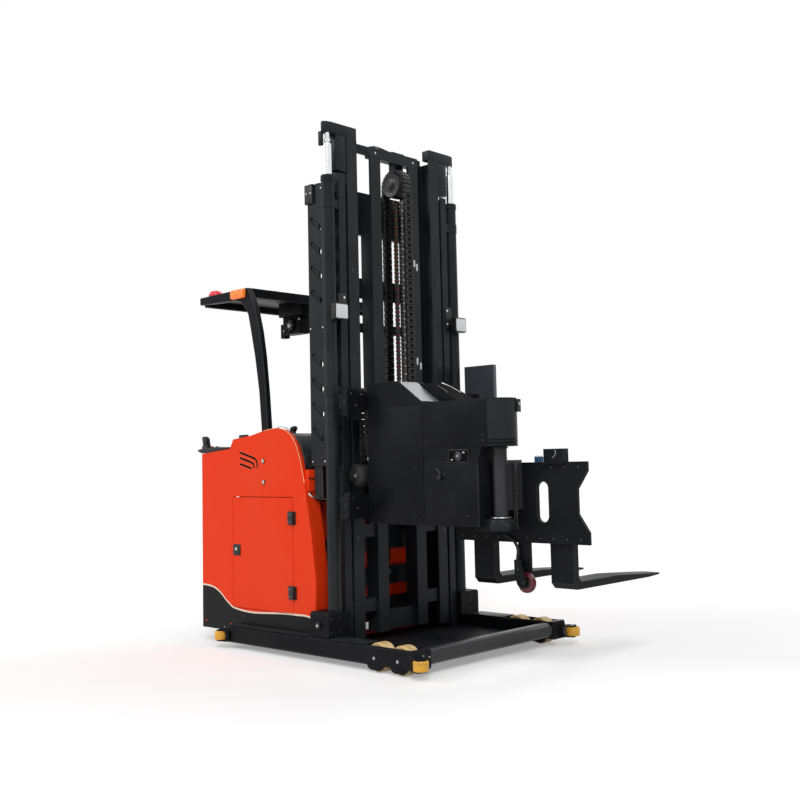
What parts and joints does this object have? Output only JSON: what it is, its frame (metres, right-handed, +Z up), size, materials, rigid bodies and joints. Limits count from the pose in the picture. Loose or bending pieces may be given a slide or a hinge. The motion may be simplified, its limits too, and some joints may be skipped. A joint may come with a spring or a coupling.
{
  "type": "stand-on three-way very-narrow-aisle forklift",
  "caption": "Electric aisle stacker with a tall telescopic mast, side-shifting head and forks that swing to either side.",
  "frame": {"origin": "on the ground, at the middle of the machine's length and width", "axes": "+X forward to the fork end, +Y left, +Z up"},
  "size_m": [2.841, 1.485, 3.24],
  "materials": {
    "black_paint": "satin",
    "orange_paint": "gloss",
    "bright_steel": "polished",
    "yellow_tyre": "satin",
    "maroon_tyre": "satin",
    "black_tyre": "matte",
    "dark_plastic": "matte",
    "dark_metal": "satin",
    "grey_sheet": "satin",
    "red_lens": "gloss",
    "amber_lens": "gloss",
    "lamp_lens": "gloss"
  },
  "bodies": {
    "chassis": {"side_beam_right": "black_paint", "side_beam_left": "black_paint", "front_crossmember": "black_paint", "chassis_deck": "black_paint", "battery": "dark_metal", "side_panel_right": "orange_paint", "side_panel_left": "orange_paint", "front_panel": "orange_paint", "hood": "dark_plastic", "operator_floor": "dark_metal", "control_console": "dark_metal", "guard_post_right": "black_paint", "guard_post_left": "black_paint", "guard_roof": "black_paint", "beacon": "red_lens", "marker_lamp": "amber_lens", "outer_upright_right": "black_paint", "outer_upright_left": "black_paint", "mast_lower_tie": "black_paint", "mast_upper_tie": "black_paint", "lift_barrel_right": "black_paint", "lift_barrel_left": "black_paint", "mast_cover_right": "black_paint", "mast_cover_left": "black_paint", "work_lamp_right": "lamp_lens", "work_lamp_left": "lamp_lens"},
    "mast_middle": {"middle_upright_right": "black_paint", "middle_upright_left": "black_paint", "middle_back_plate": "black_paint", "middle_cap_rod_right": "bright_steel", "middle_cap_rod_left": "bright_steel"},
    "mast_inner": {"inner_stage_frame": "black_paint", "hose_chain": "dark_plastic", "hose_chain_front": "dark_plastic", "hose_chain_rear": "dark_plastic"},
    "chain_pulley": {"chain_pulley": "dark_plastic"},
    "lift_carriage": {"traverse_frame": "black_paint", "traverse_motor": "dark_metal", "frame_end_panel": "grey_sheet"},
    "head": {"side_shift_head": "black_paint", "head_cover": "bright_steel"},
    "fork_carriage": {"swing_column": "black_paint", "fork_plate": "black_paint", "fork_front": "black_paint", "fork_rear": "black_paint"},
    "support_wheel": {"support_wheel": "maroon_tyre"},
    "access_door": {"access_door": "orange_paint"},
    "drive_fork": {"drive_fork": "black_paint"},
    "drive_wheel": {"drive_wheel": "black_tyre"},
    "load_wheel_rear_right": {"load_wheel_rear_right": "yellow_tyre"},
    "guide_roller_rear_right": {"guide_roller_rear_right": "yellow_tyre"},
    "load_wheel_rear_left": {"load_wheel_rear_left": "yellow_tyre"},
    "guide_roller_rear_left": {"guide_roller_rear_left": "yellow_tyre"},
    "load_wheel_front_right": {"load_wheel_front_right": "yellow_tyre"},
    "guide_roller_front_right": {"guide_roller_front_right": "yellow_tyre"},
    "load_wheel_front_left": {"load_wheel_front_left": "yellow_tyre"},
    "guide_roller_front_left": {"guide_roller_front_left": "yellow_tyre"}
  },
  "joints": [
    {"name": "mast_lift", "type": "slide", "parent": "chassis", "child": "mast_middle", "axis": [0, 0, 1], "range_m": [0, 2.1]},
    {"name": "inner_lift", "type": "slide", "parent": "mast_middle", "child": "mast_inner", "axis": [0, 0, 1], "range_m": [0, 2.1]},
    {"name": "pulley_spin", "type": "hinge", "parent": "mast_inner", "child": "chain_pulley", "pos_m": [-0.1355, 0.045, 2.94], "axis": [0, 1, 0], "continuous": true},
    {"name": "carriage_lift", "type": "slide", "parent": "mast_inner", "child": "lift_carriage", "axis": [0, 0, 1], "range_m": [-0.3, 1.45]},
    {"name": "side_shift", "type": "slide", "parent": "lift_carriage", "child": "head", "axis": [0, 1, 0], "range_m": [0, 0.7]},
    {"name": "fork_swing", "type": "hinge", "parent": "head", "child": "fork_carriage", "pos_m": [0.9655, -0.35, 1.03], "axis": [0, 0, 1], "range_deg": [-180, 0]},
    {"name": "support_wheel_spin", "type": "hinge", "parent": "fork_carriage", "child": "support_wheel", "pos_m": [1.0205, -0.2155, 0.487], "axis": [0, 1, 0], "continuous": true},
    {"name": "door_hinge", "type": "hinge", "parent": "chassis", "child": "access_door", "pos_m": [-0.4295, -0.6313, 0.6], "axis": [0, 0, 1], "range_deg": [0, 110]},
    {"name": "steering", "type": "hinge", "parent": "chassis", "child": "drive_fork", "pos_m": [-0.8045, 0, 0.3], "axis": [0, 0, 1], "range_deg": [-90, 90]},
    {"name": "drive_wheel_spin", "type": "hinge", "parent": "drive_fork", "child": "drive_wheel", "pos_m": [-0.8045, 0, 0.115], "axis": [0, 1, 0], "continuous": true},
    {"name": "load_wheel_rear_right_spin", "type": "hinge", "parent": "chassis", "child": "load_wheel_rear_right", "pos_m": [0.3155, -0.625, 0.08], "axis": [0, 1, 0], "continuous": true},
    {"name": "guide_roller_rear_right_spin", "type": "hinge", "parent": "chassis", "child": "guide_roller_rear_right", "pos_m": [-1.0545, -0.7, 0.08], "axis": [0, 0, 1], "continuous": true},
    {"name": "load_wheel_rear_left_spin", "type": "hinge", "parent": "chassis", "child": "load_wheel_rear_left", "pos_m": [0.3155, 0.625, 0.08], "axis": [0, 1, 0], "continuous": true},
    {"name": "guide_roller_rear_left_spin", "type": "hinge", "parent": "chassis", "child": "guide_roller_rear_left", "pos_m": [-1.0545, 0.7, 0.08], "axis": [0, 0, 1], "continuous": true},
    {"name": "load_wheel_front_right_spin", "type": "hinge", "parent": "chassis", "child": "load_wheel_front_right", "pos_m": [0.4955, -0.625, 0.08], "axis": [0, 1, 0], "continuous": true},
    {"name": "guide_roller_front_right_spin", "type": "hinge", "parent": "chassis", "child": "guide_roller_front_right", "pos_m": [0.6725, -0.7, 0.08], "axis": [0, 0, 1], "continuous": true},
    {"name": "load_wheel_front_left_spin", "type": "hinge", "parent": "chassis", "child": "load_wheel_front_left", "pos_m": [0.4955, 0.625, 0.08], "axis": [0, 1, 0], "continuous": true},
    {"name": "guide_roller_front_left_spin", "type": "hinge", "parent": "chassis", "child": "guide_roller_front_left", "pos_m": [0.6725, 0.7, 0.08], "axis": [0, 0, 1], "continuous": true}
  ],
  "couplings": [
    {"joint": "inner_lift", "follows": "mast_lift", "ratio": 1}
  ]
}
